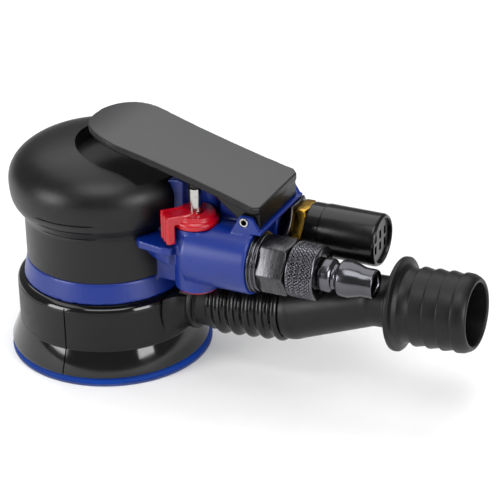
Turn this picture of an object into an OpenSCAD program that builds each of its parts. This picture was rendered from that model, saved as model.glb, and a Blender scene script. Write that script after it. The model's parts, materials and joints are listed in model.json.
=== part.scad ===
// Air-driven random orbital palm sander with a 90 mm pad and a dust hose outlet.
// The origin is on the motor axis at the pad's working face. +X points to the hoses, +Z up.

/* [Pad and shroud] */
// Radius of the sanding pad's working face
pad_r = 45; // [44:0.5:46]
// Offset of the pad spindle from the motor axis, half of the orbit
orbit_r = 1.25; // [1:0.25:1.5]
// Number of dust holes through the pad
dust_holes = 6; // [4:1:8]
// Outer radius of the shroud's straight band
band_r = 40.2; // [39.8:0.1:40.6]
// Height of the shroud's lower edge
shroud_z = 3.9; // [3.8:0.1:4.5]

/* [Motor housing and grip] */
// Outer radius of the grip's straight neck
neck_r = 35.2; // [35:0.1:35.6]
// Largest radius of the palm dome
dome_r = 41.1; // [40.5:0.1:41.5]
// Height of the dome's widest level
dome_z = 81.5; // [81:0.5:82]
// Rise of the dome above its widest level
dome_h = 19.8; // [19:0.1:20.5]
// Bore of the housing that holds the air motor
motor_r = 30; // [29.5:0.1:30.2]

/* [Lever] */
// Thickness of the lever's plate
lever_t = 3; // [2.5:0.1:3.2]
// Half width of the lever at its waist
lever_waist = 20; // [19.5:0.1:20.3]

/* [Air line] */
// Outer radius of the air inlet tube
inlet_r = 14.5; // [14:0.1:14.6]
// Radius of the air plug's tip
plug_tip_r = 6.2; // [6:0.1:6.3]
// Radius of the muffler can
muffler_r = 11.5; // [11:0.1:11.8]

/* [Dust line] */
// Bore radius of the hose fitting
hose_bore_r = 13.2; // [13:0.1:13.4]
// Crest radius of the hose fitting's barbs
barb_r = 16.85; // [16.5:0.05:17]
// Radius of the hose fitting's stop flange
hose_flange_r = 20; // [19:0.5:20.5]

/* [Hidden] */
$fn = 96;
// Smallest overlap used to cut cleanly through a face
cut = 0.5;
// Radial clearance of a running fit
run = 0.05;

// Heights of the motor stack
ring_z0 = 36.5;
grip_z0 = 45.5;
front_z0 = 40;
cylinder_z0 = 47.5;
cylinder_z1 = 69.5;
rear_z1 = 77;
core_top = 88;
bearing_w = 6;
bearing_r = 11;
shaft_r = 5;
// Rotor, its vanes and slots
rotor_r = 20.4;
vane_count = 5;
vane_t = 2;
vane_in = 10.5;
// Dowel that keys the plates and the cylinder together
dowel_r = 1.5;
dowel_at = 27;
dowel_turn = 200;
dowel_z = 44;
// Pocket for the spindle bearings in the shaft's eccentric end
pocket_r = 14;
pocket_z = 12;
pocket_top = 29.4;
spindle_r = 6;
stud_r = 3.97;
plate_z = 8.6;

// Speed valve: its vertical axis and levels
valve_x = 53;
valve_y = -16;
chamber_r = 9.7;
chamber_z0 = 46.5;
chamber_z1 = 75.6;
sleeve_r = 8;
stem_r = 2.8;
stem_top = 92;
tab_angle = -134;

// Air inlet and exhaust axes
inlet_y = -16;
inlet_z = 63.3;
inlet_x1 = 81.5;
exhaust_y = 16;
exhaust_z = 66.4;
exhaust_x1 = 81;
nut_w = 5.7;
muffler_x0 = 92.4;
muffler_x1 = 125;

// Lever hinge pin
pin_x = 78;
pin_z = 82.8;
pin_r = 2;
ear_x1 = 78;
ear_y0 = 18.7;
ear_y1 = 21.5;

// Dust line: port, bellows, tube and fitting
port_z = 29.5;
port_r = 11;
passage_z = 26.4;
bellows_x0 = 53.5;
bellows_z0 = 30;
bellows_tilt = 6.4;
bellows_start = 1.8;
bellows_end = 34.8;
bellows_pitch = 6.9;
bellows_first = 5.5;
tube_joint = 38;
tube_r = 12.9;
fitting_x = 141;
fitting_z = 47.4;
fitting_tilt = 3.6;
socket_r = 11;
tube_wall = 2;
// Play between parts that are seated in each other
seat = 0.02;

// Height of the lever's upper face at x
function lever_top(x) = 112.5 - 0.277 * x - (x < 16 ? 0.0098 * pow(16 - x, 2) : 0);
// Half width of the lever at x
function lever_half(x) = lever_waist + 1.3 * pow((x - valve_x) / 32, 2);
// Quarter of a superellipse from radius r at level z up to the axis
function dome_points(r, z, h) =
    [for (a = [0 : 5 : 90]) [r * pow(cos(a), 2 / 2.2), z + h * pow(sin(a), 2 / 2.2)]];

// Puts a child that stands along Z on a line along X
module along_x(x, y, z) {
    translate([x, y, z]) rotate([0, 90, 0]) children();
}

// Extrudes a flat child, drawn in X and Z, between two Y planes
module xz_plate(y0, y1) {
    translate([0, y1, 0]) rotate([90, 0, 0]) linear_extrude(y1 - y0) children();
}

// Straight ring
module ring(outer, inner, height) {
    difference() {
        cylinder(r = outer, h = height);
        translate([0, 0, -cut]) cylinder(r = inner, h = height + 2 * cut);
    }
}

// Ball bearing with a shield groove in each face, standing on z = 0
module bearing(outer, inner, width) {
    groove_in = inner + (outer - inner) * 0.3;
    groove_out = inner + (outer - inner) * 0.7;
    difference() {
        ring(outer, inner, width);
        for (z = [-cut, width - 0.4])
            translate([0, 0, z]) ring(groove_out, groove_in, 0.4 + cut);
    }
}

// Lever outline seen from above, grown outwards by a margin; front_x is the centre of its round front
module lever_outline(grow = 0, front_x = 19) {
    rear_x = 84;
    corner = 2.5;
    front_r = lever_half(front_x) + grow;
    side = [for (x = [front_x : 6 : rear_x - corner]) [x, lever_half(x) + grow]];
    rear = [
        [rear_x - corner + grow, lever_half(rear_x) + grow],
        [rear_x + grow, lever_half(rear_x) - corner]
    ];
    half = concat(side, rear);
    front = [for (a = [92 : 4 : 268]) [front_x + front_r * cos(a), front_r * sin(a)]];
    polygon(concat(
        [for (i = [len(half) - 1 : -1 : 0]) half[i]],
        front,
        [for (p = half) [p[0], -p[1]]]
    ));
}

// Space above the dome that the lever sits and travels in
module lever_pocket() {
    intersection() {
        linear_extrude(130) lever_outline(2, 14.5);
        xz_plate(-40, 40) polygon([
            [-12, 94.6], [20, 92.2], [38, 90.2], [60, 87], [60, 125], [-12, 125]
        ]);
    }
}

// Core of the housing that the grip fits over
module housing_core() {
    rotate_extrude() polygon(concat(
        [[0, ring_z0], [37.1, ring_z0], [35.2, grip_z0], [33.2, grip_z0], [33.2, 66], [38.5, 78]],
        dome_points(38.5, 80, core_top - 80)
    ));
}

// Rear half of the housing: valve chamber, inlet, exhaust, hinge ears and web
module housing_rear() {
    difference() {
        union() {
            translate([valve_x, valve_y, chamber_z0])
                cylinder(r = chamber_r, h = chamber_z1 - chamber_z0);
            along_x(valve_x - 1, inlet_y, inlet_z)
                cylinder(r = inlet_r, h = inlet_x1 - valve_x + 1);
            along_x(20, exhaust_y, exhaust_z) cylinder(r = 12.5, h = exhaust_x1 - 20);
            translate([20, -14, 50]) cube([36, 30, 26]);
            translate([20, -14, 44]) cube([24, 28, 8]);
            // Centre web under the lever
            xz_plate(-10, 10) polygon([
                [20, 66], [20, 87], [42, 90.6], [70, 84.5], [73, 76], [77, 66], [77, 56], [20, 56]
            ]);
            // Hinge ears
            for (y = [-ear_y1, ear_y0])
                xz_plate(y, y + ear_y1 - ear_y0) polygon([
                    [71.7, 66], [ear_x1, 66], [ear_x1, 77.6], [85.5, 77.6], [81.2, 85.1],
                    [75.8, 85.1],
                    [71.7, 77.4]
                ]);
            // Cross bar behind the lever's back wall and the floor in front of it
            xz_plate(-ear_y1, ear_y1) polygon([
                [72, 76], [ear_x1, 76], [ear_x1, 77.6], [85.5, 77.6],
                [85.5, 79.1], [81.6, 79.1], [80.6, 78.2], [72, 78.2]
            ]);
            // Thumb shelf beside the speed knob and the step that carries it
            translate([0, 0, 63.4]) linear_extrude(3.6) polygon([
                [26, -18], [28.6, -24.4], [30.4, -26], [42.5, -28.2], [46, -27.4], [50, -22],
                [44, -12], [30, -12]
            ]);
            translate([0, 0, 57.6]) linear_extrude(6) polygon([
                [30, -18], [36.5, -22.5], [44, -25.4], [50, -20], [44, -12], [30, -12]
            ]);
        }
        // Clear space for the knob's flange
        translate([valve_x, valve_y, chamber_z1]) cylinder(r = 10.7, h = 40);
        // Speed valve bore
        translate([valve_x, valve_y, chamber_z0 - cut])
            cylinder(r = sleeve_r, h = chamber_z1 - chamber_z0 + 2 * cut);
        // Inlet thread bore and passage to the valve
        along_x(66, inlet_y, inlet_z) cylinder(r = 8, h = 20);
        along_x(valve_x, inlet_y, inlet_z) cylinder(r = 4, h = 16);
        // Passage from the valve to the motor
        along_x(24, -12, 60) cylinder(r = 2.5, h = 24);
        // Exhaust passage and thread bore
        along_x(24, exhaust_y, exhaust_z) cylinder(r = 6, h = 60);
        along_x(64, exhaust_y, exhaust_z) cylinder(r = 8.5, h = 20);
        // Hinge pin bore
        translate([pin_x, 40, pin_z]) rotate([90, 0, 0]) cylinder(r = pin_r, h = 80);
        // Room for the lever's cheeks and back wall
        translate([70, -ear_y0, 79.1]) cube([20, 2 * ear_y0, 20]);
    }
}

module motor_housing() {
    color("royalblue") difference() {
        union() {
            housing_core();
            difference() {
                housing_rear();
                cylinder(r = 33, h = 120);
            }
        }
        translate([0, 0, ring_z0 - cut]) cylinder(r = motor_r, h = rear_z1 + 1.5 - ring_z0 + cut);
        along_x(24, -12, 60) cylinder(r = 2.5, h = 24);
        along_x(24, exhaust_y, exhaust_z) cylinder(r = 6, h = 60);
    }
}

module grip_cover() {
    color("#1b1b1b") difference() {
        rotate_extrude() polygon(concat(
            [[0, grip_z0], [neck_r, grip_z0], [neck_r, 65], [36.6, 68.2], [39.5, 72], [40.7, 76]],
            [[dome_r, dome_z - 1]],
            dome_points(dome_r, dome_z, dome_h)
        ));
        housing_core();
        cylinder(r = 33, h = 70);
        housing_rear();
        // Straight bores left by the rear block's own holes
        translate([31, -10, 50]) cube([25, 26, 26]);
        translate([28, -14.5, 57.5]) cube([20, 5, 5]);
        along_x(24, exhaust_y, exhaust_z) cylinder(r = 8, h = 40);
        lever_pocket();
    }
}

module shroud() {
    color("#202020") difference() {
        union() {
            rotate_extrude() polygon([
                [0, shroud_z], [43.8, shroud_z], [44.2, 4.5], [44.1, 5.6], [band_r - 0.1, 15.5],
                [band_r, 33.9],
                [39.3, 35.4], [37.1, ring_z0],
                [0, ring_z0]
            ]);
            along_x(36, 0, port_z) cylinder(r = port_r + 1.6, h = 8.5);
        }
        rotate_extrude() polygon([
            [0, shroud_z - cut], [42.3, shroud_z - cut], [38.2, 15.5], [38.2, 33], [36.5, 34.5], [0, 34.5]
        ]);
        translate([0, 0, 30]) cylinder(r = 31, h = 10);
        // Room for the housing's ring above the boss
        translate([0, 0, ring_z0]) cylinder(r = 37.5, h = 20);
        // Dust passage and the socket for the dust port
        along_x(25, 0, passage_z) cylinder(r = 8, h = 16);
        along_x(39.5, 0, port_z) cylinder(r = port_r, h = 10);
        // Split line at the side
        translate([-0.2, -50, shroud_z - cut]) cube([0.4, 20, 30]);
    }
}

module lock_ring() {
    color("silver") difference() {
        union() {
            translate([0, 0, 32.5]) cylinder(r = 33, h = 2);
            translate([0, 0, 34]) cylinder(r = motor_r - seat, h = front_z0 - 34);
        }
        translate([0, 0, 30]) cylinder(r = 24, h = 14);
        // Pin wrench holes
        for (a = [0 : 90 : 270])
            rotate(a) translate([28.5, 0, 30]) cylinder(r = 1.6, h = 5.5, $fn = 32);
    }
}

module front_plate() {
    color("gainsboro") difference() {
        translate([0, 0, front_z0]) cylinder(r = motor_r - seat, h = cylinder_z0 - front_z0);
        translate([0, 0, front_z0 - cut]) cylinder(r = bearing_r, h = bearing_w + cut);
        translate([0, 0, front_z0]) cylinder(r = shaft_r + 1, h = 20);
        dowel_hole();
    }
}

module rear_plate() {
    color("gainsboro") difference() {
        translate([0, 0, cylinder_z1]) cylinder(r = motor_r - seat, h = rear_z1 - cylinder_z1);
        translate([0, 0, rear_z1 - bearing_w]) cylinder(r = bearing_r, h = bearing_w + cut);
        translate([0, 0, cylinder_z1 - cut]) cylinder(r = shaft_r + 1, h = 10);
        dowel_hole();
    }
}

// Bore of the dowel
module dowel_hole() {
    rotate(dowel_turn) translate([dowel_at, 0, dowel_z]) cylinder(r = dowel_r, h = 30, $fn = 32);
}

module cylinder_dowel() {
    color("silver") rotate(dowel_turn) translate([dowel_at, 0, dowel_z])
        cylinder(r = dowel_r, h = 29, $fn = 32);
}

// Motor cylinder, whose bore is off the motor axis so that the chambers open and close
module motor_cylinder() {
    color("lightgray") difference() {
        translate([0, 0, cylinder_z0]) cylinder(r = motor_r - seat, h = cylinder_z1 - cylinder_z0);
        translate([-2.2, 0, cylinder_z0 - cut]) cylinder(r = 22.8, h = 30);
        dowel_hole();
        // Inlet and exhaust ports
        along_x(15, -12, 60) cylinder(r = 2.5, h = 20);
        along_x(10, exhaust_y, exhaust_z - 4) cylinder(r = 2, h = 22);
    }
}

module front_bearing() {
    color("silver") translate([0, 0, front_z0]) bearing(bearing_r - seat, shaft_r + 0.04, bearing_w);
}

module rear_bearing() {
    color("silver") translate([0, 0, rear_z1 - bearing_w])
        bearing(bearing_r - seat, shaft_r + 0.04, bearing_w);
}

module wave_washer() {
    color("gray") translate([0, 0, rear_z1]) ring(10.5, 8, 0.5);
}

// Rotor, centred on the motor axis, with a slot for each vane
module rotor() {
    color("darkgray") difference() {
        translate([0, 0, cylinder_z0 + 0.1])
            cylinder(r = rotor_r, h = cylinder_z1 - cylinder_z0 - 0.2);
        translate([0, 0, cylinder_z0]) cylinder(r = shaft_r + seat, h = 30);
        for (i = [0 : vane_count - 1])
            rotate(i * 360 / vane_count + 18) translate([vane_in, -vane_t / 2, cylinder_z0])
                cube([20, vane_t, 30]);
        translate([0, -1.5, cylinder_z0]) cube([6.5, 3, 30]);
    }
}

module rotor_vanes() {
    color("sienna") for (i = [0 : vane_count - 1])
        rotate(i * 360 / vane_count + 18)
            translate([vane_in + 0.3, -vane_t / 2 + 0.05, cylinder_z0 + 0.2])
                cube([rotor_r - vane_in - 0.4, vane_t - 0.1, cylinder_z1 - cylinder_z0 - 0.4]);
}

module rotor_key() {
    color("silver") translate([3.5, -1.5, cylinder_z0 + 2]) cube([3, 3, 16]);
}

// Shaft with the eccentric spindle pocket and its counterweight
module shaft_balancer() {
    color("lightslategray") difference() {
        union() {
            translate([0, 0, pocket_z]) cylinder(r = 17.6, h = 21);
            intersection() {
                translate([0, 0, 16]) cylinder(r = 30, h = 8);
                translate([-26, -32, 15]) cube([52, 23, 10]);
            }
            translate([0, 0, 32]) cylinder(r = 8, h = front_z0 - 32 - 0.2);
            translate([0, 0, 32]) cylinder(r = shaft_r, h = rear_z1 - 32 + 1);
        }
        translate([0, orbit_r, pocket_z - cut]) cylinder(r = pocket_r, h = pocket_top - pocket_z + cut);
        translate([3.5, -1.5, cylinder_z0 + 2]) cube([3, 3, 16]);
        // Groove for the circlip
        translate([0, 0, rear_z1 + 0.2]) ring(shaft_r + 1, shaft_r - 0.6, 0.6);
    }
}

module shaft_circlip() {
    color("gray") translate([0, 0, rear_z1 + 0.2]) difference() {
        ring(shaft_r + 1.8, shaft_r - 0.6, 0.6);
        translate([-1.5, 0, -cut]) cube([3, 10, 2]);
    }
}

module spindle_bearings() {
    color("silver") for (z = [13.2, 21.4])
        translate([0, orbit_r, z]) bearing(pocket_r - seat, spindle_r + 0.04, 8);
}

module bearing_circlip() {
    color("gray") translate([0, orbit_r, 12.1]) difference() {
        ring(pocket_r - seat, 12, 1);
        translate([-2, 0, -cut]) cube([4, 20, 3]);
    }
}

module spindle() {
    color("silver") translate([0, orbit_r, 0]) difference() {
        union() {
            translate([0, 0, plate_z]) cylinder(r = 11, h = 3);
            translate([0, 0, plate_z]) cylinder(r = spindle_r, h = pocket_top - plate_z - 0.3);
        }
        translate([0, 0, plate_z - cut]) cylinder(r = stud_r, h = 14);
        // Spanner flats
        for (s = [0, 1])
            mirror([s, 0, 0]) translate([9, -15, 8]) cube([6, 30, 4]);
    }
}

module pad_stud() {
    color("silver") translate([0, orbit_r, 0]) {
        translate([0, 0, 3.6]) cylinder(r = 9, h = 1.2);
        translate([0, 0, 3.6]) cylinder(r = stud_r, h = 16);
    }
}

// Dust holes of the pad, cut through every layer
module pad_dust_holes() {
    translate([0, orbit_r, -1]) for (i = [0 : dust_holes - 1])
        rotate(i * 360 / dust_holes + 30) translate([27, 0, 0]) cylinder(r = 3.6, h = 12, $fn = 48);
}

module pad_plate() {
    color("#303030") difference() {
        translate([0, orbit_r, 0]) rotate_extrude() polygon([
            [0, 3.4], [37.6, 3.4], [37.6, 5], [34, 5.8], [14, 5.8], [13, plate_z], [0, plate_z]
        ]);
        translate([0, orbit_r, 3]) cylinder(r = stud_r, h = 12);
        translate([0, orbit_r, 3]) cylinder(r = 9, h = 1.8);
        pad_dust_holes();
    }
}

module pad_foam() {
    color("dodgerblue") difference() {
        translate([0, orbit_r, 0]) rotate_extrude() polygon([
            [0, 0.9], [pad_r - 0.2, 0.9], [pad_r - 0.6, 2.2], [pad_r - 1.4, 3.4], [0, 3.4]
        ]);
        pad_dust_holes();
    }
}

module hook_face() {
    color("navy") difference() {
        translate([0, orbit_r, 0]) cylinder(r = pad_r, h = 0.9);
        pad_dust_holes();
    }
}

module lever() {
    color("dimgray") difference() {
        union() {
            intersection() {
                linear_extrude(130) lever_outline();
                xz_plate(-40, 40) polygon(concat(
                    [for (x = [-10 : 2 : 86]) [x, lever_top(x)]],
                    [for (x = [86 : -2 : -10]) [x, lever_top(x) - lever_t]]
                ));
            }
            // Hinge cheeks
            for (y = [-ear_y0 + 0.4, ear_y0 - 3.2])
                xz_plate(y, y + 2.8) polygon([
                    [60, 93.2], [73.4, 82.5], [73.4, 79.8], [76.5, 79.2], [83.8, 79.2], [83.8, 87]
                ]);
            // Down-turned rear wall
            xz_plate(-ear_y0 + 0.4, ear_y0 - 0.4) polygon([
                [81.4, 79.4], [83.8, 79.4], [83.8, 87], [81.4, 87]
            ]);
            // Boss that presses the valve stem
            translate([valve_x, valve_y + 0.5, stem_top + 0.3])
                cylinder(r = 3.2, h = 3, $fn = 48);
        }
        translate([pin_x, 40, pin_z]) rotate([90, 0, 0]) cylinder(r = pin_r + run, h = 80);
    }
}

module lever_pin() {
    color("silver") translate([pin_x, ear_y1 + 0.3, pin_z]) rotate([90, 0, 0]) difference() {
        cylinder(r = pin_r - seat, h = 2 * ear_y1 + 0.6);
        translate([0, 0, -cut]) cylinder(r = pin_r - 0.8, h = 60);
        translate([-0.25, 0, -cut]) cube([0.5, 5, 60]);
    }
}

module valve_stem() {
    color("silver") translate([valve_x, valve_y, 0]) {
        translate([0, 0, 58]) cylinder(r = stem_r, h = stem_top - 58);
        translate([0, 0, 57]) cylinder(r = 5.2, h = 3);
    }
}

// Coil spring under the valve head, one turn of wire for each pass
module valve_spring() {
    color("silver") translate([valve_x, valve_y, 49.6]) for (i = [0 : 3])
        translate([0, 0, 0.4 + i * 2.16]) rotate_extrude() translate([4.2, 0]) circle(r = 0.4, $fn = 16);
}

module valve_plug() {
    color("firebrick") translate([valve_x, valve_y, 46.2]) difference() {
        cylinder(r = 5.8 - seat, h = 3);
        translate([0, 0, -cut]) cylinder(r = 2.5, h = 2, $fn = 6);
    }
}

// Rotating speed sleeve with its flange, arm and thumb tab
module speed_knob() {
    color("crimson") translate([valve_x, valve_y, 0]) difference() {
        union() {
            translate([0, 0, 46]) cylinder(r = sleeve_r - 0.06, h = 30.5);
            translate([0, 0, chamber_z1 + 0.3]) cylinder(r = 10, h = 3);
            translate([0, 0, 78]) cylinder(r = 8.6, h = 3.4);
            rotate(tab_angle) {
                translate([0, -4.8, 78]) cube([14.3, 9.6, 4]);
                translate([10.6, -4.8, 69.2]) cube([3.7, 9.6, 12.8]);
            }
        }
        translate([0, 0, 40]) cylinder(r = 5.8, h = 32);
        translate([0, 0, 60]) cylinder(r = stem_r + 0.2, h = 40);
        // Groove for the stem's seal
        translate([0, 0, 72.48]) cylinder(r = 4.12, h = 1.04);
        // Ports for the air that comes from the inlet and goes to the motor
        translate([0, 0, inlet_z]) rotate([0, 90, 0]) cylinder(r = 3.5, h = 20);
        translate([-4, 4, 60]) rotate([0, -90, 0]) cylinder(r = 2.5, h = 20);
    }
}

module knob_o_ring() {
    color("#151515") translate([valve_x, valve_y, 73])
        rotate_extrude() translate([3.6, 0]) circle(r = 0.5, $fn = 16);
}

module plug_body() {
    color("#2a2a2c") difference() {
        union() {
            along_x(67, inlet_y, inlet_z) cylinder(r = 8 - seat, h = 20);
            along_x(inlet_x1, inlet_y, inlet_z) cylinder(r = 13.4, h = 2);
            along_x(83, inlet_y, inlet_z) rotate(30) cylinder(r = 12.4, h = 15, $fn = 6);
            along_x(97, inlet_y, inlet_z) cylinder(r = 6.5, h = 9);
        }
        along_x(60, inlet_y, inlet_z) cylinder(r = 4, h = 60);
        along_x(60, inlet_y, inlet_z) cylinder(r = 6, h = 9);
    }
}

module inlet_screen() {
    color("silver") along_x(67.2, inlet_y, inlet_z) difference() {
        cylinder(r = 6 - seat, h = 1);
        for (a = [0 : 60 : 300])
            rotate(a) translate([3.4, 0, -cut]) cylinder(r = 1, h = 3, $fn = 24);
    }
}

module plug_swivel() {
    color("#333336") difference() {
        along_x(0, inlet_y, inlet_z) rotate_extrude() polygon([
            [0, 98.5], [11.1, 98.5], [11.75, 99.2], [11.75, 110.2], [11.2, 111], [8.4, 111],
            [7.2, 112], [7.2, 116],
            [5.6, 117], [5.6, 118.6], [7, 119.4], [7.8, 120.2], [7.8, 124.5], [plug_tip_r, 129],
            [plug_tip_r, 135],
            [0, 135]
        ]);
        along_x(90, inlet_y, inlet_z) cylinder(r = 6.5 + run, h = 16.4);
        along_x(90, inlet_y, inlet_z) cylinder(r = 3.75, h = 60);
    }
}

module plug_o_ring() {
    color("#151515") along_x(98.1, inlet_y, inlet_z) ring(8, 6.5 + seat, 0.3);
}

module exhaust_nut() {
    color("#2a2a2c") difference() {
        along_x(exhaust_x1, exhaust_y, exhaust_z) rotate(30) cylinder(r = 12.8, h = nut_w, $fn = 6);
        along_x(60, exhaust_y, exhaust_z) cylinder(r = 8.5 + seat, h = 40);
    }
}

module exhaust_adapter() {
    color("goldenrod") difference() {
        union() {
            along_x(66, exhaust_y, exhaust_z) cylinder(r = 8.5 - seat, h = 24);
            along_x(muffler_x0 - nut_w, exhaust_y, exhaust_z) rotate(30)
                cylinder(r = 11.6, h = nut_w, $fn = 6);
            along_x(muffler_x0 - 1, exhaust_y, exhaust_z) cylinder(r = 8 - seat, h = 6);
        }
        along_x(60, exhaust_y, exhaust_z) cylinder(r = 6, h = 60);
    }
}

module muffler_can() {
    color("#1d1d1f") along_x(0, exhaust_y, exhaust_z) rotate_extrude() polygon([
        [8, muffler_x0], [muffler_r - 0.6, muffler_x0], [muffler_r - 0.3, muffler_x0 + 0.5],
        [muffler_r - 0.3, 98.9], [muffler_r, 99.3], [muffler_r, muffler_x1 - 1.5],
        [muffler_r - 1, muffler_x1], [9.6, muffler_x1], [9.6, 96.9], [8, 95.9]
    ]);
}

module muffler_cap() {
    color("#151515") along_x(muffler_x1 - 3, exhaust_y, exhaust_z) difference() {
        cylinder(r = 9.6 - seat, h = 1.6);
        for (y = [-5, 0, 5])
            for (x = [-4.6, 0.8])
                translate([x, y - 1.1, -cut]) cube([3.8, 2.2, 4]);
    }
}

module muffler_felt() {
    color("linen") along_x(98.5, exhaust_y, exhaust_z) ring(9.5, 5, 23);
}

// Stub that carries the bellows on the shroud
module dust_port() {
    collar_x = 44.6;
    color("#1f1f1f") difference() {
        union() {
            along_x(39.6, 0, port_z) cylinder(r = port_r - seat, h = bellows_x0 - 40);
            along_x(collar_x, 0, port_z) cylinder(r = port_r + 2, h = 2.4);
            at_bellows() translate([0, 0, -3]) cylinder(r = port_r - 0.15, h = 3 + bellows_start - 0.1);
        }
        along_x(30, 0, port_z) cylinder(r = port_r - 2, h = bellows_x0 - 30);
        at_bellows() translate([0, 0, -1.5]) cylinder(r = port_r - 2.2, h = 9);
    }
}

// Bellows frame: its axis leaves the port and rises slightly
module at_bellows() {
    translate([bellows_x0, 0, bellows_z0]) rotate([0, 90 - bellows_tilt, 0]) children();
}

function bellows_radius(t) = 12.3 + 0.017 * t + 1.3 * cos(360 * (t - bellows_first) / bellows_pitch);

module dust_bellows() {
    step = 0.75;
    count = (bellows_end - bellows_start) / step;
    wall = 1.6;
    marks = [for (i = [0 : count]) bellows_start + i * step];
    color("#181818") at_bellows() rotate_extrude() polygon(concat(
        [for (t = marks) [bellows_radius(t), t]],
        [for (i = [len(marks) - 1 : -1 : 0]) [bellows_radius(marks[i]) - wall, marks[i]]]
    ));
}

// Outer shape of the dust tube, drawn inwards by a wall
module tube_form(wall) {
    lead = tube_joint - bellows_end - 0.2;
    joint_x = bellows_x0 + tube_joint * cos(bellows_tilt);
    joint_z = bellows_z0 + tube_joint * sin(bellows_tilt);
    bend_x = 127.5;
    bend_z = 46.6;
    slope = atan((bend_z - joint_z) / (bend_x - joint_x));
    run_length = norm([bend_x - joint_x, bend_z - joint_z]);
    // The balls at the bends stand slightly proud, so that no two faces only graze
    proud = 0.12;
    open = wall > 0 ? cut : 0;
    translate([joint_x, 0, joint_z]) {
        rotate([0, 90 - bellows_tilt, 0]) translate([0, 0, -lead - open])
            cylinder(r = tube_r - wall, h = lead + open);
        sphere(r = tube_r - wall + proud);
        rotate([0, 90 - slope, 0])
            cylinder(r1 = tube_r - wall, r2 = socket_r - wall, h = run_length);
    }
    translate([bend_x, 0, bend_z]) sphere(r = socket_r - wall + proud);
    at_fitting() translate([0, 0, -13.5]) cylinder(r = socket_r - wall, h = 17.5 + open);
}

module dust_tube() {
    color("#1c1c1e") difference() {
        union() {
            tube_form(0);
            // Support fin on top
            xz_plate(-5, -3) polygon([
                [93, 42], [93, 50.6], [95.5, 50.6], [100, 47.5], [100, 42]
            ]);
        }
        tube_form(tube_wall);
        // Mouth face, just clear of the bellows
        at_bellows() translate([0, 0, bellows_end - 29.8]) cylinder(r = 20, h = 30);
    }
}

// Fitting frame: its axis lies along local Z
module at_fitting() {
    translate([fitting_x, 0, fitting_z]) rotate([0, 90 - fitting_tilt, 0]) children();
}

module tube_clip() {
    color("#101010") at_fitting() translate([0, 0, -5.5]) ring(13.2, socket_r + 0.05, 3);
}

module hose_fitting() {
    neck = 15.7;
    pitch = 6.2;
    first = 7.2;
    barbs = 4;
    last = barb_r - 0.4;
    bore_from = 4.2;
    color("#1c1c1c") difference() {
        at_fitting() rotate_extrude() polygon(concat(
            [[0, -2], [hose_flange_r - 0.6, -2], [hose_flange_r, -1.4], [hose_flange_r, 0.2], [17.4, 1.2]],
            [[neck, 2.6], [neck, first]],
            [for (i = [0 : barbs - 1], root = [false, true])
                root ? [i < barbs - 1 ? neck : last, first + (i + 1) * pitch]
                     : [barb_r, first + i * pitch + 0.4]],
            [[15, 32], [14.6, 32.4], [0, 32.4]]
        ));
        at_fitting() translate([0, 0, -3]) cylinder(r = socket_r + run, h = 3 + bore_from);
        at_fitting() translate([0, 0, bore_from]) cylinder(r = hose_bore_r, h = 40);
    }
}

motor_housing();
grip_cover();
shroud();
lock_ring();
front_plate();
rear_plate();
motor_cylinder();  // cylinder
cylinder_dowel();
front_bearing();
rear_bearing();
wave_washer();
lever_pin();
plug_body();
inlet_screen();
exhaust_nut();
exhaust_adapter();
muffler_can();
muffler_cap();
muffler_felt();
dust_port();
dust_bellows();
lever();
valve_stem();
valve_spring();
speed_knob();
valve_plug();
knob_o_ring();
shaft_balancer();
rotor();
rotor_vanes();
rotor_key();
shaft_circlip();
spindle_bearings();
bearing_circlip();
spindle();
pad_stud();
pad_plate();
pad_foam();
hook_face();
plug_swivel();
plug_o_ring();
dust_tube();
tube_clip();
hose_fitting();
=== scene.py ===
"""Looks of the air-driven palm sander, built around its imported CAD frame.

Lengths in the profiles are millimetres in the CAD frame: origin on the motor axis at the pad's face,
+X towards the hoses, +Z up.
"""
import json
import math

import bmesh
import bpy
from mathutils import Matrix, Quaternion, Vector

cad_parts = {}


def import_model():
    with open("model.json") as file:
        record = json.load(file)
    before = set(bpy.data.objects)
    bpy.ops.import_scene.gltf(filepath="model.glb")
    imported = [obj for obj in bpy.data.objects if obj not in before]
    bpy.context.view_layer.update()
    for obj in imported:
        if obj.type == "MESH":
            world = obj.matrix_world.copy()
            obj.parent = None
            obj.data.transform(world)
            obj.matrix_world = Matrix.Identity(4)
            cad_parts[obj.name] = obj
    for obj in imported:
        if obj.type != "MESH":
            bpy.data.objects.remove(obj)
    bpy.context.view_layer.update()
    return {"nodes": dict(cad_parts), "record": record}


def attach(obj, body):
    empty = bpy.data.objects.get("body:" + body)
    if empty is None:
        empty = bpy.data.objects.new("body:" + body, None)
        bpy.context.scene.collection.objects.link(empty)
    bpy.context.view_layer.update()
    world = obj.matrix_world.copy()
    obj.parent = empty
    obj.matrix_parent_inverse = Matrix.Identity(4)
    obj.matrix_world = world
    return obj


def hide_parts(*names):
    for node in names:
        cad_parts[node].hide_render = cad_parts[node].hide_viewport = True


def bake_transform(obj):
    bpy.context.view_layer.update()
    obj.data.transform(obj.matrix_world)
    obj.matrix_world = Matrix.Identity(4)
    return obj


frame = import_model()
nodes = frame["nodes"]

MM = 0.001
MOTOR_AXIS = ((0, 0, 0), (0, 0, 1))
PAD_AXIS = ((0, 1.25, 0), (0, 0, 1))
PLUG_AXIS = ((0, -16, 63.3), (1, 0, 0))
MUFFLER_AXIS = ((0, 16, 66.4), (1, 0, 0))
VALVE_AXIS = ((53, -16, 0), (0, 0, 1))
PIN_AXIS = ((78, 0, 82.8), (0, 1, 0))
PORT_AXIS = ((0, 0, 29.5), (1, 0, 0))
FITTING_TILT = math.radians(3.6)
FITTING_AXIS = ((141, 0, 47.4), (math.cos(FITTING_TILT), 0, math.sin(FITTING_TILT)))
BELLOWS_TILT = math.radians(6.4)
BELLOWS_AXIS = ((53.5, 0, 30), (math.cos(BELLOWS_TILT), 0, math.sin(BELLOWS_TILT)))


# ---------------------------------------------------------------- materials

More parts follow.
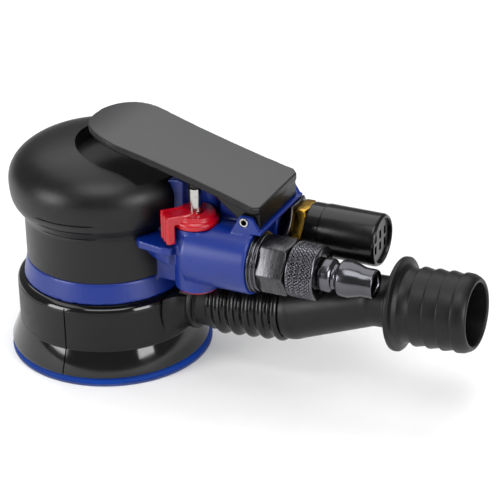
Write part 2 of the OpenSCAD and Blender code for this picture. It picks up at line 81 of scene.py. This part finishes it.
def surface(name, color, roughness, metallic=0.0, grain=900.0, bump=0.15, depth=0.00004, tint=0.12,
            rough_spread=0.08, coat=0.0, stretch=(1, 1, 1), specular=0.5, sheen=0.0):
    """A moulded, cast or turned surface: mottled colour, uneven roughness and a fine grain bump."""
    mat = bpy.data.materials.new(name)
    mat.use_nodes = True
    tree = mat.node_tree
    shader = tree.nodes["Principled BSDF"]
    shader.inputs["Metallic"].default_value = metallic
    shader.inputs["Coat Weight"].default_value = coat
    shader.inputs["Coat Roughness"].default_value = 0.12
    shader.inputs["Specular IOR Level"].default_value = specular
    shader.inputs["Sheen Weight"].default_value = sheen
    coords = tree.nodes.new("ShaderNodeTexCoord")
    mapping = tree.nodes.new("ShaderNodeMapping")
    mapping.inputs["Scale"].default_value = stretch
    tree.links.new(coords.outputs["Object"], mapping.inputs["Vector"])

    def noise(scale, detail):
        node = tree.nodes.new("ShaderNodeTexNoise")
        node.inputs["Scale"].default_value = scale
        node.inputs["Detail"].default_value = detail
        tree.links.new(mapping.outputs["Vector"], node.inputs["Vector"])
        return node

    blotch = noise(60.0, 4.0)
    ramp = tree.nodes.new("ShaderNodeValToRGB")
    dark = [c * (1 - tint) for c in color] + [1]
    light = [min(1.0, c * (1 + tint)) for c in color] + [1]
    ramp.color_ramp.elements[0].position = 0.3
    ramp.color_ramp.elements[0].color = dark
    ramp.color_ramp.elements[1].position = 0.7
    ramp.color_ramp.elements[1].color = light
    tree.links.new(blotch.outputs["Fac"], ramp.inputs["Fac"])
    tree.links.new(ramp.outputs["Color"], shader.inputs["Base Color"])
    scuff = noise(240.0, 6.0)
    spread = tree.nodes.new("ShaderNodeMapRange")
    spread.inputs["From Min"].default_value = 0.3
    spread.inputs["From Max"].default_value = 0.7
    spread.inputs["To Min"].default_value = max(0.02, roughness - rough_spread)
    spread.inputs["To Max"].default_value = min(1.0, roughness + rough_spread)
    tree.links.new(scuff.outputs["Fac"], spread.inputs["Value"])
    tree.links.new(spread.outputs["Result"], shader.inputs["Roughness"])
    fine = noise(grain, 3.0)
    bumper = tree.nodes.new("ShaderNodeBump")
    bumper.inputs["Strength"].default_value = bump
    bumper.inputs["Distance"].default_value = depth
    tree.links.new(fine.outputs["Fac"], bumper.inputs["Height"])
    tree.links.new(bumper.outputs["Normal"], shader.inputs["Normal"])
    return mat


MATERIALS = {
    "housing_blue": surface("housing_blue", (0.001, 0.016, 0.165), 0.34, bump=0.04, tint=0.05,
                            rough_spread=0.03, specular=0.45),
    "grip_rubber": surface("grip_rubber", (0.004, 0.004, 0.0045), 0.38, bump=0.35, grain=1700, depth=0.00004,
                           specular=0.3, rough_spread=0.03),
    "shroud_black": surface("shroud_black", (0.005, 0.005, 0.0055), 0.4, bump=0.1, specular=0.25,
                            rough_spread=0.04),
    "shroud_gloss": surface("shroud_gloss", (0.002, 0.002, 0.002), 0.1, bump=0.03, rough_spread=0.02,
                            specular=0.5),
    "black_plastic": surface("black_plastic", (0.003, 0.003, 0.0033), 0.42, bump=0.3, grain=1500,
                             depth=0.00005, specular=0.28, rough_spread=0.04),
    "bellows_rubber": surface("bellows_rubber", (0.002, 0.002, 0.002), 0.26, bump=0.1, specular=0.35,
                              rough_spread=0.03),
    "seal_rubber": surface("seal_rubber", (0.004, 0.004, 0.004), 0.5, specular=0.3),
    "steel": surface("steel", (0.46, 0.46, 0.47), 0.32, 1.0, grain=700, stretch=(1, 1, 12)),
    "bright_steel": surface("bright_steel", (0.42, 0.41, 0.40), 0.2, 1.0, grain=500, tint=0.04),
    "black_steel": surface("black_steel", (0.10, 0.10, 0.11), 0.19, 1.0, grain=800, bump=0.1, tint=0.2,
                           rough_spread=0.05),
    "muffler_black": surface("muffler_black", (0.002, 0.002, 0.0022), 0.22, 0.0, grain=900, bump=0.05,
                             specular=0.4, rough_spread=0.03),
    "brass": surface("brass", (0.50, 0.29, 0.04), 0.2, 1.0, grain=600, tint=0.08),
    "aluminium": surface("aluminium", (0.68, 0.68, 0.70), 0.3, 1.0, stretch=(1, 1, 8)),
    "vane_composite": surface("vane_composite", (0.24, 0.12, 0.05), 0.6, grain=300, stretch=(1, 1, 10)),
    "felt": surface("felt", (0.7, 0.69, 0.65), 0.95, bump=1.0, depth=0.0003, sheen=0.5),
    "lever_grey": surface("lever_grey", (0.018, 0.018, 0.0205), 0.34, grain=2600, bump=0.06, tint=0.06,
                          specular=0.7, rough_spread=0.02),
    "lever_black": surface("lever_black", (0.002, 0.002, 0.002), 0.34, bump=0.05, specular=0.3,
                           rough_spread=0.03),
    "knob_red": surface("knob_red", (0.36, 0.001, 0.008), 0.26, bump=0.03, tint=0.05, rough_spread=0.03,
                        specular=0.5),
    "pad_black": surface("pad_black", (0.006, 0.006, 0.0065), 0.5, specular=0.3),
    "pad_blue": surface("pad_blue", (0.0, 0.03, 0.22), 0.6, bump=0.5, grain=2600, depth=0.0001,
                        specular=0.15),
    "hook_fabric": surface("hook_fabric", (0.01, 0.03, 0.16), 0.9, bump=1.0, grain=3500, depth=0.0002,
                           sheen=0.4),
    "black_brushed": surface("black_brushed", (0.075, 0.075, 0.08), 0.3, 1.0, grain=200, bump=0.6,
                             depth=0.00004, tint=0.3, rough_spread=0.12, stretch=(20, 1.2, 1.2)),
}


# ---------------------------------------------------------------- mesh tools

def axis_matrix(axis):
    """Frame whose Z runs along an axis given as a point and a direction. Upright axes keep X and Y."""
    origin, direction = axis
    upright = direction[0] == direction[1] == 0
    turn = Matrix.Identity(4) if upright else Vector(direction).to_track_quat("Z", "Y").to_matrix().to_4x4()
    return Matrix.Translation(Vector(origin)) @ turn


def rounded(points, radius, closed=True, steps=4):
    """The outline with each corner of more than 20 degrees replaced by a smooth bend."""
    out = []
    count = len(points)
    for i, point in enumerate(points):
        p = Vector(point)
        if not closed and i in (0, count - 1):
            out.append(p)
            continue
        before = Vector(points[i - 1]) - p
        after = Vector(points[(i + 1) % count]) - p
        if math.pi - before.angle(after) < math.radians(20):
            out.append(p)
            continue
        cut = min(radius, 0.45 * before.length, 0.45 * after.length)
        start = p + before.normalized() * cut
        end = p + after.normalized() * cut
        for k in range(steps + 1):
            t = k / steps
            out.append(start * (1 - t) ** 2 + p * 2 * t * (1 - t) + end * t * t)
    return out


def make(name, verts, faces, sharp=40):
    """A mesh object from points in millimetres, with outward normals and smooth shading."""
    mesh = bpy.data.meshes.new(name)
    work = bmesh.new()
    added = [work.verts.new(Vector(v) * MM) for v in verts]
    for face in faces:
        work.faces.new([added[i] for i in face])
    bmesh.ops.remove_doubles(work, verts=work.verts, dist=1e-7)
    bmesh.ops.dissolve_degenerate(work, edges=work.edges, dist=1e-8)
    bmesh.ops.recalc_face_normals(work, faces=work.faces)
    work.to_mesh(mesh)
    work.free()
    obj = bpy.data.objects.new(name, mesh)
    bpy.context.collection.objects.link(obj)
    shade(obj, sharp)
    return obj


def shade(obj, sharp=40):
    """Smooth shading, with creases where faces meet at more than that angle."""
    obj.data.polygons.foreach_set("use_smooth", [True] * len(obj.data.polygons))
    obj.data.set_sharp_from_angle(angle=math.radians(sharp))


def lathe(name, profile, axis, segments=160, closed=True, shift=None):
    """Turns a profile of (radius, height) about an axis. shift(angle, height) is added to the radius."""
    place = axis_matrix(axis)
    verts = []
    for radius, height in profile:
        for k in range(segments):
            angle = 2 * math.pi * k / segments
            r = radius + (shift(angle, height) if shift and radius > 0 else 0)
            verts.append(place @ Vector((r * math.cos(angle), r * math.sin(angle), height)))
    rings = len(profile)
    faces = []
    for i in range(rings if closed else rings - 1):
        j = (i + 1) % rings
        for k in range(segments):
            m = (k + 1) % segments
            faces.append((i * segments + k, i * segments + m, j * segments + m, j * segments + k))
    return make(name, verts, faces)


def prism(name, outline, axis, low, high):
    """Solid between two heights on an axis, with a flat outline."""
    place = axis_matrix(axis)
    count = len(outline)
    verts = [place @ Vector((x, y, z)) for z in (low, high) for x, y in outline]
    faces = [tuple(range(count))[::-1], tuple(range(count, 2 * count))]
    faces += [(i, (i + 1) % count, count + (i + 1) % count, count + i) for i in range(count)]
    return make(name, verts, faces)


def bake(obj):
    """Applies the object's modifiers to its mesh."""
    graph = bpy.context.evaluated_depsgraph_get()
    mesh = bpy.data.meshes.new_from_object(obj.evaluated_get(graph))
    obj.modifiers.clear()
    obj.data = mesh
    return obj


def combine(obj, other, operation):
    """Cuts obj with other, or keeps what both share, and removes other."""
    mod = obj.modifiers.new("cut", "BOOLEAN")
    mod.operation = operation
    mod.solver = "EXACT"
    mod.object = other
    bake(obj)
    bpy.data.objects.remove(other)
    return obj


def soften(obj, voxel, passes):
    """Rounds every edge as a moulding's are: voxel remesh, then smoothing."""
    mod = obj.modifiers.new("remesh", "REMESH")
    mod.mode = "VOXEL"
    mod.voxel_size = voxel * MM
    mod.use_smooth_shade = True
    even = obj.modifiers.new("even", "SMOOTH")
    even.factor = 0.5
    even.iterations = passes
    return bake(obj)


def cad_copy(node, name):
    """A new piece with the shape of a CAD node, ready to be worked on."""
    obj = nodes[node].copy()
    obj.data = nodes[node].data.copy()
    obj.name = name
    obj.parent = None
    obj.matrix_world = Matrix.Identity(4)
    bpy.context.collection.objects.link(obj)
    return obj


def join(name, pieces):
    """One object from several, their meshes simply put together."""
    mesh = bpy.data.meshes.new(name)
    work = bmesh.new()
    for piece in pieces:
        work.from_mesh(piece.data)
        bpy.data.objects.remove(piece)
    work.to_mesh(mesh)
    work.free()
    obj = bpy.data.objects.new(name, mesh)
    bpy.context.collection.objects.link(obj)
    return obj


def dress(obj, body, slot, replaced=(), material=None):
    """Gives a piece its material and body, and hides the CAD nodes that it stands for."""
    obj.data.materials.clear()
    obj.data.materials.append(MATERIALS[material or slot])
    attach(obj, body)
    if replaced:
        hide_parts(*replaced)
    return obj


def hexagon(across):
    """Outline of a hexagon whose flats are that far apart, with a flat on top when it lies along X."""
    radius = across / math.sqrt(3)
    return [(radius * math.cos(math.radians(60 * k)), radius * math.sin(math.radians(60 * k)))
            for k in range(6)]


def hex_nut(name, across, low, high, axis, chamfer=1.0):
    """Hexagonal prism with turned chamfers on both faces."""
    body = prism(name, hexagon(across), axis, low, high)
    corner = across / math.sqrt(3)
    barrel = lathe(name + "_barrel", [
        (0, low), (across / 2 - 0.2, low), (corner + 0.1, low + chamfer), (corner + 0.1, high - chamfer),
        (across / 2 - 0.2, high), (0, high)
    ], axis, 96, closed=False)
    combine(body, barrel, "INTERSECT")
    bevel(body, 0.22, 2)
    return body


def bevel(obj, width, segments, angle=30):
    """Rounds the edges sharper than that angle."""
    mod = obj.modifiers.new("bevel", "BEVEL")
    mod.width = width * MM
    mod.segments = segments
    mod.limit_method = "ANGLE"
    mod.angle_limit = math.radians(angle)
    mod.harden_normals = False
    bake(obj)
    shade(obj, 50)
    return obj


# ---------------------------------------------------------------- lever shape, shared by its pieces

LEVER_LEVEL, LEVER_SLOPE = 112.5, 0.277
DROP_X, DROP_RATE = 16, 0.0098
WAIST_X, WAIST_HALF = 53, 20
LEVER_FRONT = 19


def lever_top(x):
    """Height of the lever's top face, which slopes down to the rear and droops at the tip."""
    drop = DROP_RATE * (DROP_X - x) ** 2 if x < DROP_X else 0
    return LEVER_LEVEL - LEVER_SLOPE * x - drop


def lever_half(x, front_x=LEVER_FRONT):
    """Half the width at x: a waisted plate with a round front end centred on front_x."""
    if x >= front_x:
        return WAIST_HALF + 1.3 * ((x - WAIST_X) / 32) ** 2
    return math.sqrt(max(0.0, lever_half(front_x) ** 2 - (x - front_x) ** 2))


LEVER_TIP = LEVER_FRONT - lever_half(LEVER_FRONT)
LEVER_REAR = 84


def dome_curve(radius, level, rise, steps=40):
    """Quarter superellipse from the dome's widest level up to the axis."""
    power = 2 / 2.2
    points = []
    for k in range(steps + 1):
        a = math.pi / 2 * k / steps
        points.append((radius * max(0, math.cos(a)) ** power, level + rise * math.sin(a) ** power))
    points[-1] = (0, level + rise)
    return points


# ---------------------------------------------------------------- pieces of the pad and shroud

def pad_pieces():
    foam = lathe("pad_cushion", rounded([
        (0, 0.9), (44.9, 0.9), (44.7, 2.2), (43.8, 3.4), (43.2, 3.9), (30, 3.9), (0, 3.9)
    ], 0.5, closed=False), PAD_AXIS, 192, closed=False)
    dress(foam, "pad", "pad_blue", ["pad_foam"])
    face = lathe("pad_hook_disc", rounded([(0, 0.0), (44.95, 0.0), (45, 0.9), (0, 0.9)], 0.2, closed=False),
                 PAD_AXIS, 192, closed=False)
    dress(face, "pad", "hook_fabric", ["hook_face"])


def shroud_pieces():
    flare_top, shoulder = 15.2 * MM, 33.7 * MM
    outline = rounded([
        (42.7, 3.9), (43.8, 3.9), (44.2, 4.5), (44.1, 5.6), (40.1, 15.4), (40.15, 33.1),
        (39.95, 33.35), (39.95, 33.6), (40.15, 33.85), (39.5, 35.2), (37.5, 36.35), (36.2, 36.4),
        (36.2, 34.6), (38.2, 33), (38.2, 15.5)
    ], 0.7, steps=6)
    skirt = lathe("shroud_skirt", outline, MOTOR_AXIS, 256)
    seam = prism("seam_cut", [(-0.3, -50), (0.3, -50), (0.3, -38.9), (-0.3, -38.9)], MOTOR_AXIS, 3, 34.6)
    combine(skirt, seam, "DIFFERENCE")
    shade(skirt, 35)
    dress(skirt, "housing", "shroud_black", ["shroud"])
    skirt.data.materials.append(MATERIALS["shroud_gloss"])
    for face in skirt.data.polygons:
        if face.center.z < flare_top or face.center.z > shoulder:
            face.material_index = 1
    boss = lathe("shroud_boss", [
        (9, 36.5), (19, 36.6), (17.2, 37.6), (15.4, 38.9), (14, 40.4), (13.1, 42), (12.7, 43.4),
        (12.6, 44.2), (12.3, 44.5), (11.1, 44.5), (11, 42), (9, 41)
    ], PORT_AXIS, 128)
    trim = prism("boss_trim", [(30, -30), (60, -30), (60, 30), (30, 30)], MOTOR_AXIS, 35.6, 60)
    combine(boss, trim, "DIFFERENCE")
    shade(boss, 35)
    dress(boss, "housing", "shroud_black")


# ---------------------------------------------------------------- grip and housing

GROOVE_LEVELS = (75.8, 71.8, 67.6)
GROOVE_MIDDLE, GROOVE_SPAN, GROOVE_FADE = 87, 22, 5
GROOVE_HALF, GROOVE_DEPTH = 0.42, 0.6


def groove_shift(angle, height):
    """Three fine arcs pressed into each side of the grip, under the dome's edge."""
    azimuth = math.degrees(angle) - (360 if angle > math.pi else 0)
    turn = abs(abs(azimuth) - GROOVE_MIDDLE)
    depth = 0
    for level in GROOVE_LEVELS:
        across = max(0.0, 1 - ((height - level) / GROOVE_HALF) ** 2)
        along = min(1.0, max(0.0, (GROOVE_SPAN - turn) / GROOVE_FADE))
        depth = max(depth, GROOVE_DEPTH * across * along)
    return -depth


def flank_curve():
    """The grip's flank between neck and dome, in fine steps so that the grooves stay crisp."""
    knots = [
        (35.2, 64.6), (35.4, 65.8), (36.6, 68.2), (38.1, 70.3), (39.5, 72.4), (40.3, 74.4), (40.7, 76.2),
        (40.95, 78.4), (41.1, 81)
    ]
    points = []
    for k in range(118):
        z = 64.6 + 0.14 * k
        for (r0, z0), (r1, z1) in zip(knots, knots[1:]):
            if z0 <= z < z1:
                points.append((r0 + (r1 - r0) * (z - z0) / (z1 - z0), z))
    return points


def grip_piece():
    outer = [(34.9, 45.6), (35.2, 45.9)] + flank_curve()
    outer += dome_curve(41.1, 81.5, 19.8)
    inner = dome_curve(38.6, 80.1, 8.1, 12)[::-1] + [(38.6, 78), (33.3, 66), (33.3, 45.6)]
    shell = lathe("grip_shell", outer + inner, MOTOR_AXIS, 320, shift=groove_shift)
    cutter = prism("pocket_cut", pocket_outline(), MOTOR_AXIS, 80, 130)
    place_floor(cutter)
    combine(shell, cutter, "DIFFERENCE")
    shade(shell, 28)
    dress(shell, "housing", "grip_rubber", ["grip_cover"])


def pocket_outline():
    """Outline of the recess that the lever moves in, a little wider than the lever."""
    front_x, margin = 14.5, 2.0
    radius = lever_half(front_x, front_x) + margin
    front = [(front_x + radius * math.cos(math.radians(a)), radius * math.sin(math.radians(a)))
             for a in range(92, 270, 3)]
    side = [(x, lever_half(x, front_x) + margin) for x in range(15, 63, 4)]
    return [(x, y) for x, y in reversed(side)] + front + [(x, -y) for x, y in side]


def recess_floor(x):
    """Height of the recess floor, which falls towards the rear."""
    return 94.6 - 0.075 * (x + 12) if x < 20 else 92.2 - 0.11 * (x - 20)


def place_floor(cutter):
    """Moves the cutter's low face onto the recess floor."""
    for vert in cutter.data.vertices:
        if vert.co.z < 100 * MM:
            vert.co.z = recess_floor(vert.co.x / MM) * MM


def housing_piece():
    shell = cad_copy("motor_housing", "housing_shell")
    soften(shell, 0.5, 6)
    dress(shell, "housing", "housing_blue", ["motor_housing"])


# ---------------------------------------------------------------- lever

def lever_pieces():
    body = cad_copy("lever", "lever_body")
    soften(body, 0.4, 4)
    dress(body, "trigger", "lever_grey", ["lever"], "lever_black")
    rows, columns = 90, 28
    inset, corner, lift = 0.7, 2.6, 0.06
    first, last = LEVER_TIP + inset, LEVER_REAR - 0.6
    verts = []
    for k in range(rows + 1):
        x = first + (last - first) * (k / rows) ** 1.6
        half = lever_half(x) - inset
        end = (x - (LEVER_REAR - 3.2)) / corner
        if end > 0:
            half -= corner * (1 - math.sqrt(max(0.0, 1 - min(1, end) ** 2)))
        verts += [(x, half * (2 * c / columns - 1), lever_top(x) + lift) for c in range(columns + 1)]
    width = columns + 1
    faces = [(r * width + c, r * width + c + 1, (r + 1) * width + c + 1, (r + 1) * width + c)
             for r in range(rows) for c in range(columns)]
    plate = make("lever_plate", verts, faces)
    mod = plate.modifiers.new("thick", "SOLIDIFY")
    mod.thickness = 0.5 * MM
    mod.offset = -1
    bake(plate)
    shade(plate, 40)
    dress(plate, "trigger", "lever_grey")


# ---------------------------------------------------------------- speed valve

def box(center, size, turn=0.0, about=(0, 0, 0)):
    """Rectangular block, turned about a vertical axis."""
    sx, sy, sz = (s / 2 for s in size)
    corners = [(x * sx, y * sy, z * sz) for x in (-1, 1) for y in (-1, 1) for z in (-1, 1)]
    spin = Matrix.Rotation(turn, 3, "Z")
    verts = [spin @ (Vector(center) + Vector(c)) + Vector(about) for c in corners]
    sides = [(0, 1, 3, 2), (4, 6, 7, 5), (0, 4, 5, 1), (2, 3, 7, 6), (0, 2, 6, 4), (1, 5, 7, 3)]
    return make("block", verts, sides)


def knob_piece():
    turn = math.radians(-134)
    center = VALVE_AXIS[0]
    parts = [
        lathe("disc", rounded([
            (3.1, 75.9), (10, 75.9), (10, 78.5), (8.7, 79.3), (8.7, 81.2), (3.1, 81.2)
        ], 0.6), VALVE_AXIS, 96),
        lathe("sleeve", [(5.8, 46), (7.94, 46), (7.94, 76.4), (5.8, 76.4)], VALVE_AXIS, 96),
        lathe("rim", rounded([(6, 45.7), (8.9, 45.7), (8.9, 46.45), (6, 46.45)], 0.25), VALVE_AXIS, 96),
        box((7.2, 0, 80), (13.6, 9.2, 3.6), turn, center),
        box((12.4, 0, 75.7), (3.0, 9.2, 12.4), turn, center),
    ]
    spin = Matrix.Rotation(turn, 3, "Z")
    for offset in (-3.2, 0, 3.2):
        foot = spin @ Vector((13.5, offset, 0)) + Vector(center)
        rib = rounded([(0, 69.4), (1.15, 69.4), (1.15, 81.6), (0, 81.6)], 0.6, closed=False)
        parts.append(lathe("rib", rib, ((foot.x, foot.y, 0), (0, 0, 1)), 24, closed=False))
    for offset in (-3.9, 3.9):
        parts.append(box((9.2, offset, 81.7), (10.2, 1.3, 1.1), turn, center))
    knob = join("speed_knob_body", parts)
    soften(knob, 0.28, 5)
    dress(knob, "regulator", "knob_red", ["speed_knob"])


def stem_piece():
    outline = rounded([(0, 58), (2.8, 58), (2.8, 91.9), (2.5, 92), (0, 92)], 0.35, closed=False)
    stem = lathe("valve_stem_rod", outline, VALVE_AXIS, 64, closed=False)
    dress(stem, "stem", "bright_steel")


def pin_piece():
    outline = rounded([(1.2, -21.8), (1.95, -21.8), (1.95, 21.8), (1.2, 21.8)], 0.25)
    pin = lathe("hinge_roll_pin", outline, PIN_AXIS, 48)
    dress(pin, "housing", "bright_steel", ["lever_pin"])


# ---------------------------------------------------------------- air line

def plug_pieces():
    flange = lathe("plug_flange", rounded([
        (8, 81.5), (12.9, 81.5), (13.4, 81.9), (13.4, 82.5), (12.5, 82.7), (12.5, 83.1), (13.1, 83.4),
        (13, 84), (12.1, 84.3), (12.1, 84.7), (12.5, 85), (12.2, 85.6), (8, 85.6)
    ], 0.2), PLUG_AXIS, 128)
    dress(flange, "housing", "black_steel", ["plug_body"])
    nut = hex_nut("plug_hex", 21.4, 85.2, 98, PLUG_AXIS)
    dress(nut, "housing", "black_steel", material="black_brushed")
    rows, knurl_count = 44, 44
    low, high, crest = 99.2, 110.3, 11.72
    margin, depth = 0.3, 0.55

    def diamonds(angle, height):
        """Two crossing sets of slanted cuts."""
        if height < low + margin or height > high - margin:
            return 0
        pitch = 2 * math.pi * crest / knurl_count
        around = angle * knurl_count / (2 * math.pi)
        along = (height - low) / pitch
        left = abs(((around + along) % 1) - 0.5) * 2
        right = abs(((around - along) % 1) - 0.5) * 2
        return -depth * max(0.0, 1 - 2.2 * min(left, right))

    profile = [(6.6, 98.5), (10.9, 98.5), (crest - 0.2, 98.9)]
    profile += [(crest, low + (high - low) * k / rows) for k in range(rows + 1)]
    profile += [(crest - 0.3, 110.75), (10.9, 111), (8.6, 111.05), (8.3, 110.4), (6.6, 110.4)]
    collar = lathe("knurled_collar", profile, PLUG_AXIS, knurl_count * 14, shift=diamonds)
    dress(collar, "air_swivel", "black_steel", ["plug_swivel"])
    nose = lathe("plug_nose", rounded([
        (3.75, 104), (6.9, 104), (6.9, 111.6), (7.2, 112.2), (7.2, 115.6), (6.4, 116.6), (5.6, 117),
        (5.6, 118.4), (6.6, 119), (7.75, 120.1), (7.8, 124.3), (6.5, 128.6), (6.2, 129.6), (6.2, 134.4),
        (5.8, 135), (4.6, 135), (3.75, 134.2)
    ], 0.4), PLUG_AXIS, 128)
    dress(nose, "air_swivel", "black_steel")


def muffler_pieces():
    nut = hex_nut("exhaust_hex_nut", 22.1, 81.05, 86.65, MUFFLER_AXIS)
    dress(nut, "housing", "black_steel", ["exhaust_nut"])
    adapter = hex_nut("exhaust_adapter_hex", 20, 86.75, 92.3, MUFFLER_AXIS)
    dress(adapter, "housing", "brass", ["exhaust_adapter"])
    can = lathe("muffler_shell", rounded([
        (8, 92.4), (10.9, 92.4), (11.2, 92.9), (11.2, 98.8), (11.5, 99.1), (11.5, 123.7), (10.8, 124.9),
        (9.9, 125), (9.6, 124.1), (9.6, 96.9), (8, 95.9)
    ], 0.35), MUFFLER_AXIS, 160)
    dress(can, "housing", "muffler_black", ["muffler_can"])


# ---------------------------------------------------------------- dust line

def port_piece():
    port = lathe("dust_port_stub", rounded([
        (9, 39.6), (10.95, 39.6), (10.95, 44.6), (13, 44.6), (13, 47), (10.95, 47), (10.95, 55), (9, 55)
    ], 0.5), PORT_AXIS, 96)
    dress(port, "housing", "black_plastic", ["dust_port"])


def bellows_piece():
    steps = 240
    start, end, wall = 0.4, 34.75, 1.5
    pitch, first_crest, height = 6.9, 5.5, 1.3

    def crest(t):
        wave = math.cos(2 * math.pi * (t - first_crest) / pitch)
        return 12.3 + 0.017 * t + height * math.copysign(abs(wave) ** 0.75, wave)

    marks = [start + (end - start) * k / steps for k in range(steps + 1)]
    outline = [(crest(t), t) for t in marks] + [(crest(t) - wall, t) for t in reversed(marks)]
    skin = lathe("dust_bellows_skin", outline, BELLOWS_AXIS, 128)
    shade(skin, 60)
    skin.data.materials.append(MATERIALS["bellows_rubber"])
    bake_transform(skin)
    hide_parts("dust_bellows")


def tube_pieces():
    tube = cad_copy("dust_tube", "dust_tube_body")
    soften(tube, 0.45, 10)
    dress(tube, "dust_line", "black_plastic", ["dust_tube"])
    outline = rounded([(11.05, -5.5), (13.2, -5.5), (13.2, -2.5), (11.05, -2.5)], 0.6)
    clip = lathe("tube_clip_ring", outline, FITTING_AXIS, 96)
    dress(clip, "dust_line", "black_plastic", ["tube_clip"])


def fitting_piece():
    """Flange and barbed spigot for the hose. Each barb rises steeply and tapers to the next."""
    pitch, first, barbs = 6.2, 7.2, 4
    root, gap = 15.7, 0.05
    outline = [
        (11.05, -2), (19.4, -2), (20, -1.5), (20, 0.2), (17.6, 1), (16, 2.6), (root, 4.5),
        (root, first - gap)
    ]
    for i in range(barbs):
        base = first + i * pitch
        outline += [(16.8, base + 0.25), (16.85, base + 0.9)]
        if i < barbs - 1:
            outline += [(root, base + pitch - gap)]
    outline += [(16.6, base + 3.4), (root, 31.2), (15.1, 32), (14.5, 32.4)]
    outline += [(13.6, 32.3), (13.2, 31.7), (13.2, 4.2), (11.05, 4.2)]
    fitting = lathe("hose_fitting_body", rounded(outline, 0.3, steps=3), FITTING_AXIS, 192)
    shade(fitting, 28)
    dress(fitting, "hose_end", "black_plastic", ["hose_fitting"])


pad_pieces()
shroud_pieces()
grip_piece()
housing_piece()
lever_pieces()
knob_piece()
stem_piece()
pin_piece()
plug_pieces()
muffler_pieces()
port_piece()
bellows_piece()
tube_pieces()
fitting_piece()

slots = {part["node"]: part["material_slot"] for part in frame["record"]["subparts"]}
for node_name, node in nodes.items():
    node.data.materials.clear()
    node.data.materials.append(MATERIALS[slots[node_name]])


# ---------------------------------------------------------------- stage

def stage():
    """A plain pale floor, a hair below the pad's face."""
    size = 3.0
    mesh = bpy.data.meshes.new("floor")
    corners = [(-size, -size, 0), (size, -size, 0), (size, size, 0), (-size, size, 0)]
    mesh.from_pydata(corners, [], [(0, 1, 2, 3)])
    floor = bpy.data.objects.new("floor", mesh)
    floor.location.z = -0.0002
    bpy.context.collection.objects.link(floor)
    floor.data.materials.append(surface("floor_paint", (0.9, 0.9, 0.9), 0.8, tint=0.01, bump=0.05))


def light(name, where, target, size, power):
    """A softbox that faces its target."""
    data = bpy.data.lights.new(name, "AREA")
    data.shape = "RECTANGLE"
    data.size, data.size_y = size
    data.energy = power
    lamp = bpy.data.objects.new(name, data)
    lamp.location = where
    lamp.rotation_euler = (Vector(target) - Vector(where)).to_track_quat("-Z", "Y").to_euler()
    bpy.context.collection.objects.link(lamp)


def world():
    space = bpy.data.worlds.new("studio")
    space.use_nodes = True
    space.node_tree.nodes["Background"].inputs["Color"].default_value = (1, 1, 1, 1)
    space.node_tree.nodes["Background"].inputs["Strength"].default_value = 0.22
    bpy.context.scene.world = space


def lights():
    """Two low panels that show in the shroud's flare, and two broad softboxes above."""
    center = Vector((0.04, 0, 0.05))
    for name, azimuth, elevation, distance, size, power in (
        ("panel_left", -128, 16, 1.0, (0.42, 0.5), 6.5),
        ("panel_right", -22, 17, 1.0, (0.35, 0.5), 5.5),
        ("top_front", -70, 66, 1.3, (0.9, 0.7), 9),
        ("top_back", 120, 62, 1.4, (1.8, 1.4), 15)
    ):
        az, el = math.radians(azimuth), math.radians(elevation)
        way = Vector((math.cos(el) * math.cos(az), math.cos(el) * math.sin(az), math.sin(el)))
        light(name, center + distance * way, center, size, power)


def camera():
    """A long lens from the right and above, very slightly rolled."""
    data = bpy.data.cameras.new("camera")
    data.sensor_width = 36
    data.lens = 158.4
    data.clip_start = 0.01
    view = bpy.data.objects.new("camera", data)
    position = Vector((0.434, -0.752, 0.490))
    aim = Vector((0.0702, 0.0, 0.0584))
    roll = Quaternion((0, 0, 1), math.radians(-1.23))
    view.location = position
    view.rotation_mode = "QUATERNION"
    view.rotation_quaternion = (aim - position).to_track_quat("-Z", "Y") @ roll
    bpy.context.collection.objects.link(view)
    bpy.context.scene.camera = view


stage()
world()
lights()
bpy.context.scene.view_settings.view_transform = "Standard"
camera()
